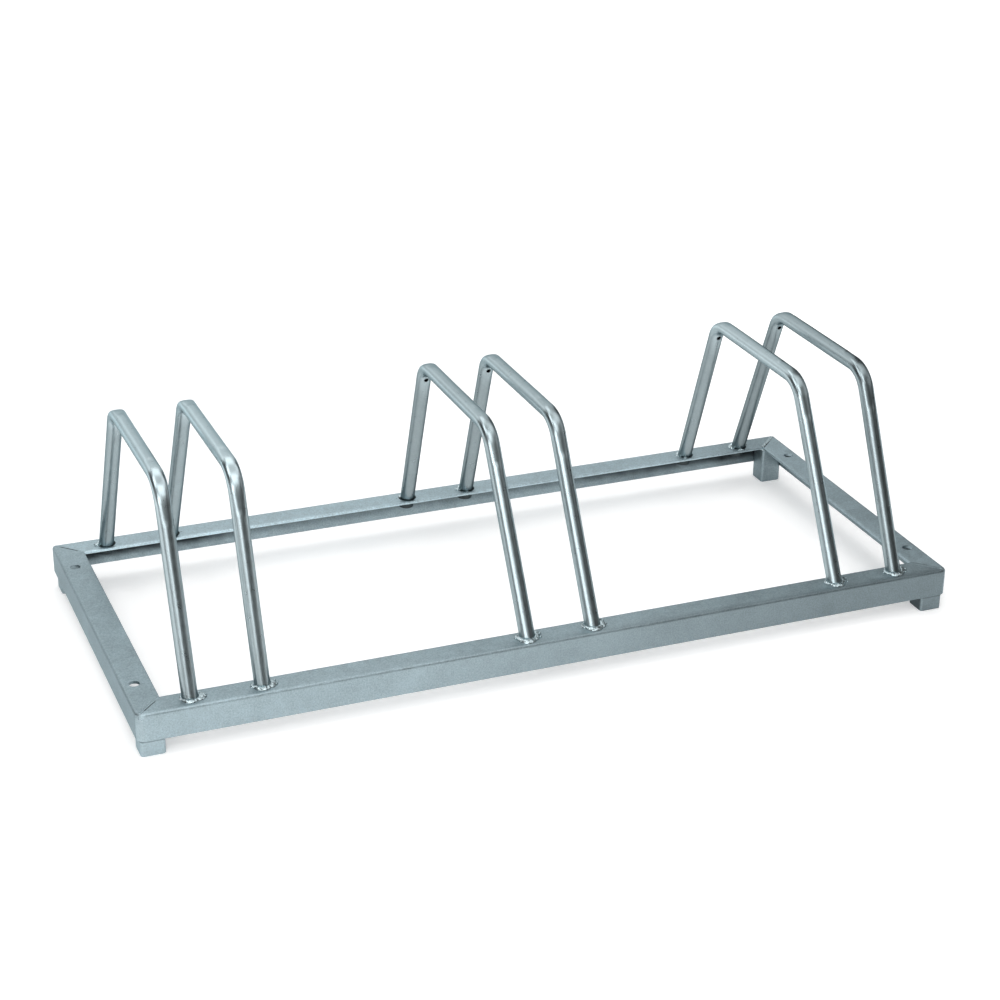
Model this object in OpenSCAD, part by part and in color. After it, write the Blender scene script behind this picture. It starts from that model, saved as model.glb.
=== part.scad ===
// Floor rack for three bicycles: a low frame of steel angle on four short feet,
// with six bent tube hoops welded through it in three pairs. A wheel drops
// between the two hoops of a pair and rests on the front and rear rails.
// Millimetres, +Z up, the front rail towards -Y, origin on the floor at the
// frame's centre.

/* [Frame] */
// Length of the frame over its end rails
frame_l = 890; // [860:5:1100]
// Depth of the frame over its front and rear rails
frame_w = 400; // [390:5:460]
// Leg width of the steel angle
angle_leg = 30; // [30:1:40]
// Thickness of the steel angle
angle_t = 3; // [2.5:0.5:4]
// Outer radius along the angle's fold
fold_r = 3; // [2:0.5:4]
// Radius to which the welded outer corners are ground
corner_r = 5; // [4:0.5:8]

/* [Feet] */
// Outside width of the square tube feet
foot_s = 25; // [20:1:26]
// Wall thickness of the feet
foot_t = 2; // [1.5:0.5:3]
// How far the feet stand out below the rails
foot_drop = 17.5; // [12:0.5:60]

/* [Hoops] */
// Outside diameter of the hoop tube
tube_d = 16; // [14:0.5:18]
// Wall thickness of the hoop tube
tube_t = 1.5; // [1:0.25:2]
// Distance between the two tube centres of a pair
pair_gap = 72; // [60:1:90]
// Centre of the left pair along the rack
pair_left = -352; // [-356:1:-330]
// Centre of the middle pair along the rack
pair_middle = -2; // [-20:1:20]
// Centre of the right pair along the rack
pair_right = 352; // [330:1:356]
// Front leg's centre where it crosses the top of the front rail, from the rack's middle
leg_front_y = -181; // [-182:0.5:-179]
// Rear leg's centre where it crosses the top of the rear rail, from the rack's middle
leg_rear_y = 183; // [180:0.5:185]
// Length of a hoop's top bar between its corners before rounding
top_l = 189; // [180:1:200]
// Centre-line radius of the front bend
bend_front_r = 34; // [24:1:50]
// Centre-line radius of the rear bend
bend_rear_r = 26; // [20:1:50]
// How far a tube end stands out below the rail's top leg
tube_under = 9; // [4:0.5:12]
// Diameter of the vent hole inside the rear bend
vent_d = 5.5; // [4:0.5:7]

/* [Stance of each hoop] */
// Middle of hoop 1's top bar, behind the rack's middle
mid_1 = -11.5; // [-18:0.5:26]
// Height of hoop 1's top bar
rise_1 = 242.5; // [230:0.5:270]
// Middle of hoop 2's top bar, behind the rack's middle
mid_2 = -14; // [-18:0.5:26]
// Height of hoop 2's top bar
rise_2 = 244; // [230:0.5:270]
// Middle of hoop 3's top bar, behind the rack's middle
mid_3 = 23.5; // [-18:0.5:26]
// Height of hoop 3's top bar
rise_3 = 234; // [230:0.5:270]
// Middle of hoop 4's top bar, behind the rack's middle
mid_4 = 20.5; // [-18:0.5:26]
// Height of hoop 4's top bar
rise_4 = 236; // [230:0.5:270]
// Middle of hoop 5's top bar, behind the rack's middle
mid_5 = 17.5; // [-18:0.5:26]
// Height of hoop 5's top bar
rise_5 = 239; // [230:0.5:270]
// Middle of hoop 6's top bar, behind the rack's middle
mid_6 = 6.5; // [-18:0.5:26]
// Height of hoop 6's top bar
rise_6 = 245.5; // [230:0.5:270]

/* [Holes and welds] */
// Diameter of the round hole in a rail for a tube
tube_hole_d = 20.5; // [20:0.5:21]
// Diameter of the anchor holes in the end rails
anchor_d = 11; // [9:0.5:13]
// Distance between the anchor holes along the rack
anchor_x = 864; // [862:1:866]
// Distance between the anchor holes across the rack
anchor_y = 274; // [240:1:290]
// Height of the weld collar round a hoop leg
collar_h = 3; // [2:0.5:4]
// Width of the weld in a mitre joint
mitre_weld = 3; // [2:0.5:4]
// Leg of the fillet weld between foot and frame
foot_weld = 3.5; // [2.5:0.5:5]

/* [Hidden] */

$fn = 48;
hl = frame_l / 2;
hw = frame_w / 2;
under = foot_drop + angle_leg - angle_t;   // underside of the rails' top legs
top = foot_drop + angle_leg;               // top of the rails
tube_r = tube_d / 2;
swell = 0.05;   // how much the bends are thicker than the straight tube, per side
lap = 1;        // how far the straight lengths run into the bends
zinc = [0.60, 0.66, 0.68];
bright_zinc = [0.72, 0.77, 0.79];
dark_zinc = [0.47, 0.53, 0.56];

// Tube centres along the rack, from left to right
hoop_x = [pair_left - pair_gap / 2, pair_left + pair_gap / 2,
          pair_middle - pair_gap / 2, pair_middle + pair_gap / 2,
          pair_right - pair_gap / 2, pair_right + pair_gap / 2];

// Centre line of hoop i in its own plane, as [depth, height]: up the front leg from
// P0 to P1, level along the top bar to P2 and down the rear leg to P3
mid = [mid_1, mid_2, mid_3, mid_4, mid_5, mid_6];
rise = [rise_1, rise_2, rise_3, rise_4, rise_5, rise_6];
low = under - tube_under;
function P1(i) = [mid[i] - top_l / 2, rise[i]];
function P2(i) = [mid[i] + top_l / 2, rise[i]];
function slope_f(i) = (P1(i)[0] - leg_front_y) / (rise[i] - top);   // depth gained per mm of height
function slope_r(i) = (P2(i)[0] - leg_rear_y) / (rise[i] - top);
function P0(i) = [leg_front_y - slope_f(i) * (top - low), low];
function P3(i) = [leg_rear_y - slope_r(i) * (top - low), low];
function up_angle(i) = atan2(1, slope_f(i));        // direction of travel up the front leg
function down_angle(i) = -atan2(1, -slope_r(i));    // and down the rear leg
function along(p, a, d) = [p[0] + d * cos(a), p[1] + d * sin(a)];
function dist(p, q) = sqrt(pow(p[0] - q[0], 2) + pow(p[1] - q[1], 2));
function cut_f(i) = bend_front_r * tan(up_angle(i) / 2);    // from the corner to where the bend starts
function cut_r(i) = bend_rear_r * tan(-down_angle(i) / 2);
function C1(i) = [P1(i)[0] + cut_f(i), rise[i] - bend_front_r];
function C2(i) = [P2(i)[0] - cut_r(i), rise[i] - bend_rear_r];

// Where a leg crosses the middle of the rail's top leg, for its hole
function hole_front(i) = leg_front_y - slope_f(i) * angle_t / 2;
function hole_rear(i) = leg_rear_y - slope_r(i) * angle_t / 2;

// Puts a shape drawn in the hoop's own plane (X = depth, Y = height) on the rack
module in_plane(x) {
  translate([x, 0, 0]) rotate([90, 0, 90]) children();
}

// Round bar of radius r from p at angle a
module bar(p, a, len, r) {
  translate([p[0], p[1], 0]) rotate([0, 0, a]) rotate([0, 90, 0]) cylinder(r = r, h = len);
}

// Round bar bent about centre c, from angle b down to angle e
module bent_bar(c, b, e, bend_r, r) {
  translate([c[0], c[1], 0]) rotate([0, 0, e]) rotate_extrude(angle = b - e) translate([bend_r, 0]) circle(r = r);
}

// Hoop i as a solid bar of radius r, running past both ends by ext. The straight
// lengths run a little way into the bends, which are swollen by a hair.
module hoop_bar(i, r, ext) {
  a1 = up_angle(i);
  a3 = down_angle(i);
  start2 = along(P1(i), 0, cut_f(i) - lap);
  start3 = along(P2(i), a3, cut_r(i) - lap);
  bar(along(P0(i), a1, -ext), a1, dist(P0(i), P1(i)) - cut_f(i) + ext + lap, r);
  bent_bar(C1(i), a1 + 90, 90, bend_front_r, r + swell);
  bar(start2, 0, top_l - cut_f(i) - cut_r(i) + 2 * lap, r);
  bent_bar(C2(i), 90, a3 + 90, bend_rear_r, r + swell);
  bar(start3, a3, dist(P2(i), P3(i)) - cut_r(i) + ext + lap, r);
}

module hoop(i) {
  color(zinc) in_plane(hoop_x[i]) difference() {
    hoop_bar(i, tube_r, 0);
    hoop_bar(i, tube_r - tube_t, 2);
    // both ends are cut level
    translate([P0(i)[0] - 40, low - 60, -20]) cube([80, 60, 40]);
    translate([P3(i)[0] - 40, low - 60, -20]) cube([80, 60, 40]);
    // vent hole at the lower end of the rear bend's inside
    translate([C2(i)[0], C2(i)[1], 0]) rotate([0, 0, down_angle(i) + 98]) rotate([0, 90, 0]) cylinder(d = vent_d, h = bend_rear_r - tube_r + 4);
  }
}

// Filled outline of the angle: X runs inwards from the outer face, Y up from the lower edge
module angle_envelope() {
  difference() {
    square([angle_leg, angle_leg]);
    translate([-1, angle_leg - fold_r]) difference() {
      square([fold_r + 1, fold_r + 1]);
      translate([fold_r + 1, 0]) circle(r = fold_r);
    }
  }
}

module angle_section() {
  difference() {
    angle_envelope();
    translate([angle_t, -1]) square([angle_leg, angle_leg - angle_t + 1]);
  }
}

// Frame outline seen from above, with its corners ground round
module frame_outline() {
  square([frame_l - 2 * corner_r, frame_w], center = true);
  square([frame_l, frame_w - 2 * corner_r], center = true);
  for (sx = [-1, 1], sy = [-1, 1])
    translate([sx * (hl - corner_r), sy * (hw - corner_r)]) circle(r = corner_r);
}

// Ground plan of one long or one short rail, cut at 45 degrees at both ends
module long_plan() {
  d = angle_leg + 5;
  intersection() {
    polygon([[-hl, -hw], [hl, -hw], [hl - d, -hw + d], [-hl + d, -hw + d]]);
    frame_outline();
  }
}

module short_plan() {
  d = angle_leg + 5;
  intersection() {
    polygon([[-hl, -hw], [-hl + d, -hw + d], [-hl + d, hw - d], [-hl, hw]]);
    frame_outline();
  }
}

// Envelopes of the front and the left rail at full length
module long_envelope() {
  translate([-hl, -hw, foot_drop]) rotate([90, 0, 90]) linear_extrude(frame_l) angle_envelope();
}

module short_envelope() {
  mirror([0, 1, 0]) translate([-hl, hw, foot_drop]) rotate([90, 0, 0]) linear_extrude(frame_w) angle_envelope();
}

// Vee along the front left mitre: across the top and down the outer corner
module mitre_vee(grow) {
  w = mitre_weld;
  translate([-hl, -hw, top]) rotate([0, 0, 45]) rotate([90, 0, 90])
    linear_extrude(60) polygon([[-w / 2 - grow, grow], [w / 2 + grow, grow], [0, -w / 2]]);
  c = corner_r * (sqrt(2) - 1);
  translate([-hl, -hw, foot_drop - grow]) rotate([0, 0, 45]) translate([c, 0, 0])
    linear_extrude(angle_leg + grow) polygon([[-grow - c, -w / 2 - grow - c], [w / 2, 0], [-grow - c, w / 2 + grow + c]]);
}

module front_rail() {
  color(zinc) difference() {
    intersection() {
      translate([-hl, -hw, foot_drop]) rotate([90, 0, 90]) linear_extrude(frame_l) angle_section();
      translate([0, 0, foot_drop - 1]) linear_extrude(angle_leg + 2) long_plan();
    }
    mitre_vee(0.01);
    mirror([1, 0, 0]) mitre_vee(0.01);
    for (i = [0:5]) translate([hoop_x[i], hole_front(i), under - 1]) cylinder(d = tube_hole_d, h = angle_t + 2);
  }
}

module rear_rail() {
  color(zinc) difference() {
    mirror([0, 1, 0]) intersection() {
      translate([-hl, -hw, foot_drop]) rotate([90, 0, 90]) linear_extrude(frame_l) angle_section();
      translate([0, 0, foot_drop - 1]) linear_extrude(angle_leg + 2) long_plan();
    }
    mirror([0, 1, 0]) mitre_vee(0.01);
    mirror([1, 0, 0]) mirror([0, 1, 0]) mitre_vee(0.01);
    for (i = [0:5]) translate([hoop_x[i], hole_rear(i), under - 1]) cylinder(d = tube_hole_d, h = angle_t + 2);
  }
}

module end_rail() {
  difference() {
    intersection() {
      mirror([0, 1, 0]) translate([-hl, hw, foot_drop]) rotate([90, 0, 0]) linear_extrude(frame_w) angle_section();
      translate([0, 0, foot_drop - 1]) linear_extrude(angle_leg + 2) short_plan();
    }
    mitre_vee(0.01);
    mirror([0, 1, 0]) mitre_vee(0.01);
    for (s = [-1, 1]) translate([-anchor_x / 2, s * anchor_y / 2, under - 1]) cylinder(d = anchor_d, h = angle_t + 2);
  }
}

module left_rail() { color(zinc) end_rail(); }
module right_rail() { color(zinc) mirror([1, 0, 0]) end_rail(); }

// Square tube outline with round edges, its outer corner at the origin
module foot_outline(s, r) {
  translate([r, 0]) square([s - 2 * r, s]);
  translate([0, r]) square([s, s - 2 * r]);
  for (x = [r, s - r], y = [r, s - r]) translate([x, y]) circle(r = r);
}

// One foot in the front left corner, mirrored into the others
module foot() {
  color(dark_zinc) translate([-hl + angle_t, -hw + angle_t, 0]) linear_extrude(under) difference() {
    foot_outline(foot_s, 2.5);
    translate([foot_t, foot_t]) foot_outline(foot_s - 2 * foot_t, 0.8);
  }
}

// Weld in the front left mitre: the vee filled flush with the ground faces
module corner_weld() {
  color(bright_zinc) intersection() {
    mitre_vee(0);
    long_envelope();
    short_envelope();
    translate([0, 0, foot_drop]) linear_extrude(angle_leg) frame_outline();
  }
}

// Fillet along the two inner faces of the front left foot, under the frame
module foot_bead() {
  f = -hl + angle_t + foot_s;
  g = -hw + angle_t + foot_s;
  color(bright_zinc) difference() {
    union() {
      translate([f, -hw + angle_leg - 0.5, under]) rotate([90, 0, 0])
        linear_extrude(angle_leg - angle_t - 1.5) polygon([[-3, 0], [foot_weld, 0], [0, -foot_weld], [-3, -foot_weld]]);
      translate([-hl + angle_t + 1, g, under]) rotate([90, 0, 90])
        linear_extrude(angle_leg - angle_t - 1.5) polygon([[-3, 0], [foot_weld, 0], [0, -foot_weld], [-3, -foot_weld]]);
    }
    translate([-hl + angle_t, -hw + angle_t, under - 20]) linear_extrude(30) foot_outline(foot_s, 2.5);
  }
}

// Weld collar round a leg where it comes out of the rail
module collar(x, hole_y, a, p) {
  color(bright_zinc) difference() {
    translate([x, hole_y, top]) cylinder(r1 = tube_hole_d / 2 + 2.5, r2 = tube_hole_d / 2 - 0.2, h = collar_h);
    in_plane(x) bar(along(p, a, -60), a, 120, tube_r);
  }
}

module front_weld(i) { collar(hoop_x[i], hole_front(i) + slope_f(i) * (angle_t + collar_h) / 2, up_angle(i), [leg_front_y, top]); }
module rear_weld(i) { collar(hoop_x[i], hole_rear(i) + slope_r(i) * (angle_t + collar_h) / 2, down_angle(i), [leg_rear_y, top]); }

front_rail();
rear_rail();
left_rail();
right_rail();
foot();  // foot_front_left
mirror([1, 0, 0]) foot();  // foot_front_right
mirror([0, 1, 0]) foot();  // foot_rear_left
mirror([1, 0, 0]) mirror([0, 1, 0]) foot();  // foot_rear_right
hoop(0);  // hoop_1
hoop(1);  // hoop_2
hoop(2);  // hoop_3
hoop(3);  // hoop_4
hoop(4);  // hoop_5
hoop(5);  // hoop_6
front_weld(0);  // front_weld_1
front_weld(1);  // front_weld_2
front_weld(2);  // front_weld_3
front_weld(3);  // front_weld_4
front_weld(4);  // front_weld_5
front_weld(5);  // front_weld_6
rear_weld(0);  // rear_weld_1
rear_weld(1);  // rear_weld_2
rear_weld(2);  // rear_weld_3
rear_weld(3);  // rear_weld_4
rear_weld(4);  // rear_weld_5
rear_weld(5);  // rear_weld_6
corner_weld();  // corner_weld_front_left
mirror([1, 0, 0]) corner_weld();  // corner_weld_front_right
mirror([0, 1, 0]) corner_weld();  // corner_weld_rear_left
mirror([1, 0, 0]) mirror([0, 1, 0]) corner_weld();  // corner_weld_rear_right
foot_bead();  // foot_weld_front_left
mirror([1, 0, 0]) foot_bead();  // foot_weld_front_right
mirror([0, 1, 0]) foot_bead();  // foot_weld_rear_left
mirror([1, 0, 0]) mirror([0, 1, 0]) foot_bead();  // foot_weld_rear_right
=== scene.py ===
import math

import bmesh
import bpy
import numpy as np
from mathutils import Matrix, Vector, noise


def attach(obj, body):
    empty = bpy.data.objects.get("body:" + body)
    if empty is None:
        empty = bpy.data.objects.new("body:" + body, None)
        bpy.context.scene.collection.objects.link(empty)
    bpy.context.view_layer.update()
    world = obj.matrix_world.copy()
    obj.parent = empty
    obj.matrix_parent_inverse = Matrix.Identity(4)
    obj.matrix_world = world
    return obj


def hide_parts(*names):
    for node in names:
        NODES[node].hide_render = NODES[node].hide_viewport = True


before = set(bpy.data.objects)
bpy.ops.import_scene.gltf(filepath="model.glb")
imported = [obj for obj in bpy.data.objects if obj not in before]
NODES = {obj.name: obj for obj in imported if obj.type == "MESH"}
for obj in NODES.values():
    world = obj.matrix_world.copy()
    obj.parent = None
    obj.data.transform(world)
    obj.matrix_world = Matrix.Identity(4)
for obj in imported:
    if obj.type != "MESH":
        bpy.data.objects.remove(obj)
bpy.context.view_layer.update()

MM = 0.001

# ---------------------------------------------------------------- sizes, in mm, as the frame has them
HL, HW = 445.0, 200.0            # half length and half depth of the frame
LEG, T = 30.0, 3.0               # steel angle
DROP = 17.5                      # underside of the angle above the floor
UNDER, TOP = DROP + LEG - T, DROP + LEG
FOLD, CORNER = 3.0, 5.0
C_FL, C_FR = 9.5, 8.0            # the front corners are ground rounder than the rear ones
FOOT, WALL = 25.0, 2.0
R = 8.0                          # hoop tube
HOOP_X = [-388.0, -316.0, -38.0, 34.0, 316.0, 388.0]
LEG_F, LEG_R, LOW = -181.0, 183.0, 35.5      # legs where they cross the top of the rails, and their lower ends
TOP_L = 189.0                                # top bar between its corners
MID = [-11.5, -14.0, 23.5, 20.5, 17.5, 6.5]  # stance of each hoop: middle of its top bar
RISE = [242.5, 244.0, 234.0, 236.0, 239.0, 245.5]
BEND_F, BEND_R = 34.0, 26.0
HOLE_D = 20.5
ANCHOR_X, ANCHOR_Y, ANCHOR_D = 864.0, 274.0, 11.0


def corners(i):
    """The four corners of hoop i's centre line, as (depth, height)."""
    p1, p2 = (MID[i] - TOP_L / 2, RISE[i]), (MID[i] + TOP_L / 2, RISE[i])
    sf, sr = slopes(i)
    return (LEG_F - sf * (TOP - LOW), LOW), p1, p2, (LEG_R - sr * (TOP - LOW), LOW)


def slopes(i):
    """Depth gained per mm of height by the front and the rear leg of hoop i."""
    return (MID[i] - TOP_L / 2 - LEG_F) / (RISE[i] - TOP), (MID[i] + TOP_L / 2 - LEG_R) / (RISE[i] - TOP)


# ---------------------------------------------------------------- camera: the photograph's angle
CAM = (0.00756, 0.00919, 0.01513)
yaw, pitch, roll = math.radians(21.0) + CAM[2], math.radians(24.0) + CAM[0], CAM[1]
fwd = Vector((math.sin(yaw) * math.cos(pitch), math.cos(yaw) * math.cos(pitch), -math.sin(pitch)))
side = Vector((math.cos(yaw), -math.sin(yaw), 0))
over = side.cross(fwd)
cr = math.cos(roll) * side + math.sin(roll) * over
cu = -math.sin(roll) * side + math.cos(roll) * over
cam_data = bpy.data.cameras.new("camera")
cam_data.sensor_width = 36.0
cam_data.lens = 80.381
cam_data.clip_start, cam_data.clip_end = 0.05, 60
cam = bpy.data.objects.new("camera", cam_data)
m = Matrix.Identity(4)
for i in range(3):
    m[i][0], m[i][1], m[i][2] = cr[i], cu[i], -fwd[i]
m.translation = Vector((-0.81047, -2.02828, 1.10822))
cam.matrix_world = m
bpy.context.scene.collection.objects.link(cam)
bpy.context.scene.camera = cam


# ---------------------------------------------------------------- helpers
def make(name, verts, faces, mats, replaces, smooth_angle=35.0):
    me = bpy.data.meshes.new(name)
    me.from_pydata([tuple(float(c) * MM for c in v) for v in verts], [], [tuple(int(i) for i in f) for f in faces])
    me.validate()
    ob = bpy.data.objects.new(name, me)
    bpy.context.scene.collection.objects.link(ob)
    clean(ob)
    shade(ob, smooth_angle)
    for mt in mats:
        me.materials.append(mt)
    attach(ob, "root")
    if replaces:
        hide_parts(*replaces)
    return ob


def clean(ob):
    bm = bmesh.new()
    bm.from_mesh(ob.data)
    bmesh.ops.recalc_face_normals(bm, faces=bm.faces)
    bm.to_mesh(ob.data)
    bm.free()


def shade(ob, angle):
    me = ob.data
    me.shade_smooth()
    me.set_sharp_from_angle(angle=math.radians(angle))


def cylinder(name, centre, axis, radius, length, n=40):
    """A plain cutter, in mm, which is removed once it has cut."""
    a = Vector(axis).normalized()
    u = a.orthogonal().normalized()
    w = a.cross(u)
    vs, fs = [], []
    for k in (-0.5, 0.5):
        for i in range(n):
            t = 2 * math.pi * i / n
            p = Vector(centre) + a * (k * length) + u * (radius * math.cos(t)) + w * (radius * math.sin(t))
            vs.append(tuple(c * MM for c in p))
    for i in range(n):
        j = (i + 1) % n
        fs.append((i, j, n + j, n + i))
    fs.append(tuple(range(n))[::-1])
    fs.append(tuple(range(n, 2 * n)))
    me = bpy.data.meshes.new(name)
    me.from_pydata(vs, [], fs)
    ob = bpy.data.objects.new(name, me)
    bpy.context.scene.collection.objects.link(ob)
    clean(ob)
    return ob


def cut(ob, cutters, angle):
    """Takes the cutters out of ob, exactly, and leaves a plain mesh."""
    for c in cutters:
        mod = ob.modifiers.new("cut", "BOOLEAN")
        mod.operation, mod.solver, mod.object = "DIFFERENCE", "EXACT", c
    bpy.context.view_layer.update()
    dg = bpy.context.evaluated_depsgraph_get()
    new = bpy.data.meshes.new_from_object(ob.evaluated_get(dg), depsgraph=dg)
    new.transform(ob.matrix_world.inverted())
    new.transform(ob.matrix_world)
    old = ob.data
    ob.modifiers.clear()
    ob.data = new
    new.name = old.name + "_cut"
    bpy.data.meshes.remove(old)
    for c in cutters:
        bpy.data.objects.remove(c)
    bm = bmesh.new()
    bm.from_mesh(ob.data)
    bmesh.ops.dissolve_degenerate(bm, edges=bm.edges, dist=1e-6)
    bm.to_mesh(ob.data)
    bm.free()
    shade(ob, angle)


def tone(ob, rule):
    """Lightness at each point of a piece, rule(x, y, z) in mm: the zinc coat's own lightness, and painted light and
    shade.
    """
    me = ob.data
    co = np.empty(len(me.vertices) * 3, np.float32)
    me.vertices.foreach_get("co", co)
    co = co.reshape(-1, 3) / MM
    at = me.attributes.new("tone", "FLOAT", "POINT")
    at.data.foreach_set("value", np.array([rule(*c) for c in co], np.float32))


def vnoise(p, scale, seed=0.0):
    """Smooth noise from -1 to 1 at a point in mm."""
    return noise.noise(Vector((p[0] * scale + seed * 17.3, p[1] * scale - seed * 9.1, p[2] * scale + seed * 5.7)))


def ramp(x, a, b):
    t = min(1.0, max(0.0, (x - a) / (b - a)))
    return t * t * (3 - 2 * t)


# ---------------------------------------------------------------- materials
def nodes_of(name):
    mat = bpy.data.materials.new(name)
    mat.use_nodes = True
    nt = mat.node_tree
    nt.nodes.clear()
    out = nt.nodes.new("ShaderNodeOutputMaterial")
    bsdf = nt.nodes.new("ShaderNodeBsdfPrincipled")
    nt.links.new(bsdf.outputs[0], out.inputs["Surface"])
    return mat, nt, bsdf


def add(nt, kind, **values):
    n = nt.nodes.new(kind)
    for k, v in values.items():
        if k.startswith("in_"):
            key = k[3:]
            n.inputs[int(key) if key.isdigit() else key.replace("_", " ")].default_value = v
        else:
            setattr(n, k, v)
    return n


def noise_tex(nt, coord, scale, detail=3.0, rough=0.5, distort=0.0, stretch=None):
    src = coord
    if stretch is not None:
        mp = add(nt, "ShaderNodeMapping")
        mp.inputs["Scale"].default_value = stretch
        nt.links.new(coord, mp.inputs["Vector"])
        src = mp.outputs["Vector"]
    n = add(nt, "ShaderNodeTexNoise", in_Scale=scale, in_Detail=detail, in_Roughness=rough, in_Distortion=distort)
    nt.links.new(src, n.inputs["Vector"])
    return n.outputs["Fac"]


def remap(nt, socket, a, b, c, d):
    n = add(nt, "ShaderNodeMapRange")
    n.inputs["From Min"].default_value = a
    n.inputs["From Max"].default_value = b
    n.inputs["To Min"].default_value = c
    n.inputs["To Max"].default_value = d
    nt.links.new(socket, n.inputs["Value"])
    return n.outputs["Result"]


def math_node(nt, op, a, b):
    n = add(nt, "ShaderNodeMath", operation=op)
    for i, v in enumerate((a, b)):
        if isinstance(v, (int, float)):
            n.inputs[i].default_value = v
        else:
            nt.links.new(v, n.inputs[i])
    return n.outputs[0]


def mix_colour(nt, fac, a, b, mode="MIX"):
    n = add(nt, "ShaderNodeMix", data_type="RGBA", blend_type=mode)
    if isinstance(fac, (int, float)):
        n.inputs[0].default_value = fac
    else:
        nt.links.new(fac, n.inputs[0])
    for i, v in ((6, a), (7, b)):
        if isinstance(v, tuple):
            n.inputs[i].default_value = (*v, 1.0)
        else:
            nt.links.new(v, n.inputs[i])
    return n.outputs[2]


def zinc(name, dark, light, rough, metallic, grain, bumps, streaks=None, marks=True, blotch=14.0, edge=(0.62, 0.68, 0.70), speck=0.85):
    """Zinc coat: a mottle of two greys at three scales, a roughness that follows it, and fine relief.
    dark and light are the two ends of the colour, rough the lowest and highest roughness,
    bumps pairs of scale (per metre) and height (m). The point attribute for marks darkens and dulls it: real seams,
    weld pits and mitre grooves, and painted shade in crevices, in gaps and under the top legs.
    The lightness attribute scales it: the coat's own lightness, and painted shade and painted highlights; edge dims the
    metal at a glancing angle."""
    mat, nt, bsdf = nodes_of(name)
    co = add(nt, "ShaderNodeTexCoord").outputs["Object"]
    big = noise_tex(nt, co, blotch, 4.0, 0.55, 0.4, streaks)
    mid = noise_tex(nt, co, blotch * 7, 3.0, 0.6, 0.2, streaks)
    fine = noise_tex(nt, co, grain, 2.0, 0.7)
    a = remap(nt, big, 0.32, 0.68, 0.0, 1.0)
    b = remap(nt, mid, 0.35, 0.65, -0.5, 0.5)
    c = remap(nt, fine, 0.3, 0.7, -0.5, 0.5)
    s = math_node(nt, "ADD", math_node(nt, "MULTIPLY", a, 0.30), math_node(nt, "MULTIPLY", b, 0.34))
    s = math_node(nt, "ADD", s, math_node(nt, "MULTIPLY", c, speck))
    s = math_node(nt, "ADD", s, 0.35)
    clamp = add(nt, "ShaderNodeClamp")
    nt.links.new(s, clamp.inputs[0])
    fac = clamp.outputs[0]
    colour = mix_colour(nt, fac, dark, light)
    tone = add(nt, "ShaderNodeAttribute", attribute_name="tone").outputs["Fac"]
    ct = add(nt, "ShaderNodeCombineColor")
    for k in range(3):
        nt.links.new(tone, ct.inputs[k])
    # the lightness attribute scales the colour: the coat's own lightness, painted shade and painted highlights
    colour = mix_colour(nt, 1.0, colour, ct.outputs[0], "MULTIPLY")
    ro = remap(nt, mid, 0.3, 0.7, rough[0], rough[1])
    if marks:
        at = add(nt, "ShaderNodeAttribute", attribute_name="mark").outputs["Fac"]
        # marks darken the colour towards near black: real seams, pits and grooves, and painted shade
        colour = mix_colour(nt, at, colour, tuple(x * 0.16 for x in dark))
        ro = math_node(nt, "ADD", ro, math_node(nt, "MULTIPLY", at, 0.25))
    nt.links.new(colour, bsdf.inputs["Base Color"])
    nt.links.new(ro, bsdf.inputs["Roughness"])
    bsdf.inputs["Metallic"].default_value = metallic
    bsdf.inputs["Specular Tint"].default_value = (*edge, 1.0)
    normal = None
    for scale, height in bumps:
        h = noise_tex(nt, co, scale, 2.0, 0.55)
        bp = add(nt, "ShaderNodeBump", in_Strength=1.0, in_Distance=height)
        nt.links.new(h, bp.inputs["Height"])
        if normal is not None:
            nt.links.new(normal, bp.inputs["Normal"])
        normal = bp.outputs["Normal"]
    nt.links.new(normal, bsdf.inputs["Normal"])
    return mat


TINT = (0.75, 0.93, 1.0)
TINT_TUBE = (0.80, 0.955, 1.0)


def grey(v, tint=TINT):
    return tuple(v * c for c in tint)


M_RAIL = zinc("zinc_rail", grey(0.33), grey(0.51), (0.44, 0.56), 1.0, 620.0, ((55.0, 0.00016), (420.0, 0.000022), (1300.0, 0.000008)))
M_TUBE = zinc("zinc_tube", grey(0.38, TINT_TUBE), grey(0.46, TINT_TUBE), (0.27, 0.31), 1.0, 500.0, ((30.0, 0.00009), (150.0, 0.000005)), blotch=16.0, edge=(0.30, 0.36, 0.38), speck=0.35)
M_FOOT = zinc("zinc_foot", grey(0.35), grey(0.49), (0.42, 0.52), 1.0, 620.0, ((70.0, 0.00012), (500.0, 0.00002)))
M_GROUND = zinc("zinc_ground", grey(0.36), grey(0.52), (0.20, 0.28), 1.0, 620.0, ((90.0, 0.00010), (500.0, 0.000015)), speck=0.4)
M_WELD = zinc("zinc_weld", grey(0.40, TINT_TUBE), grey(0.66, TINT_TUBE), (0.20, 0.32), 1.0, 500.0, ((260.0, 0.00008), (800.0, 0.00002)), blotch=60.0)


# ---------------------------------------------------------------- hoops
def turn(a):
    return math.cos(a), math.sin(a)


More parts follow.
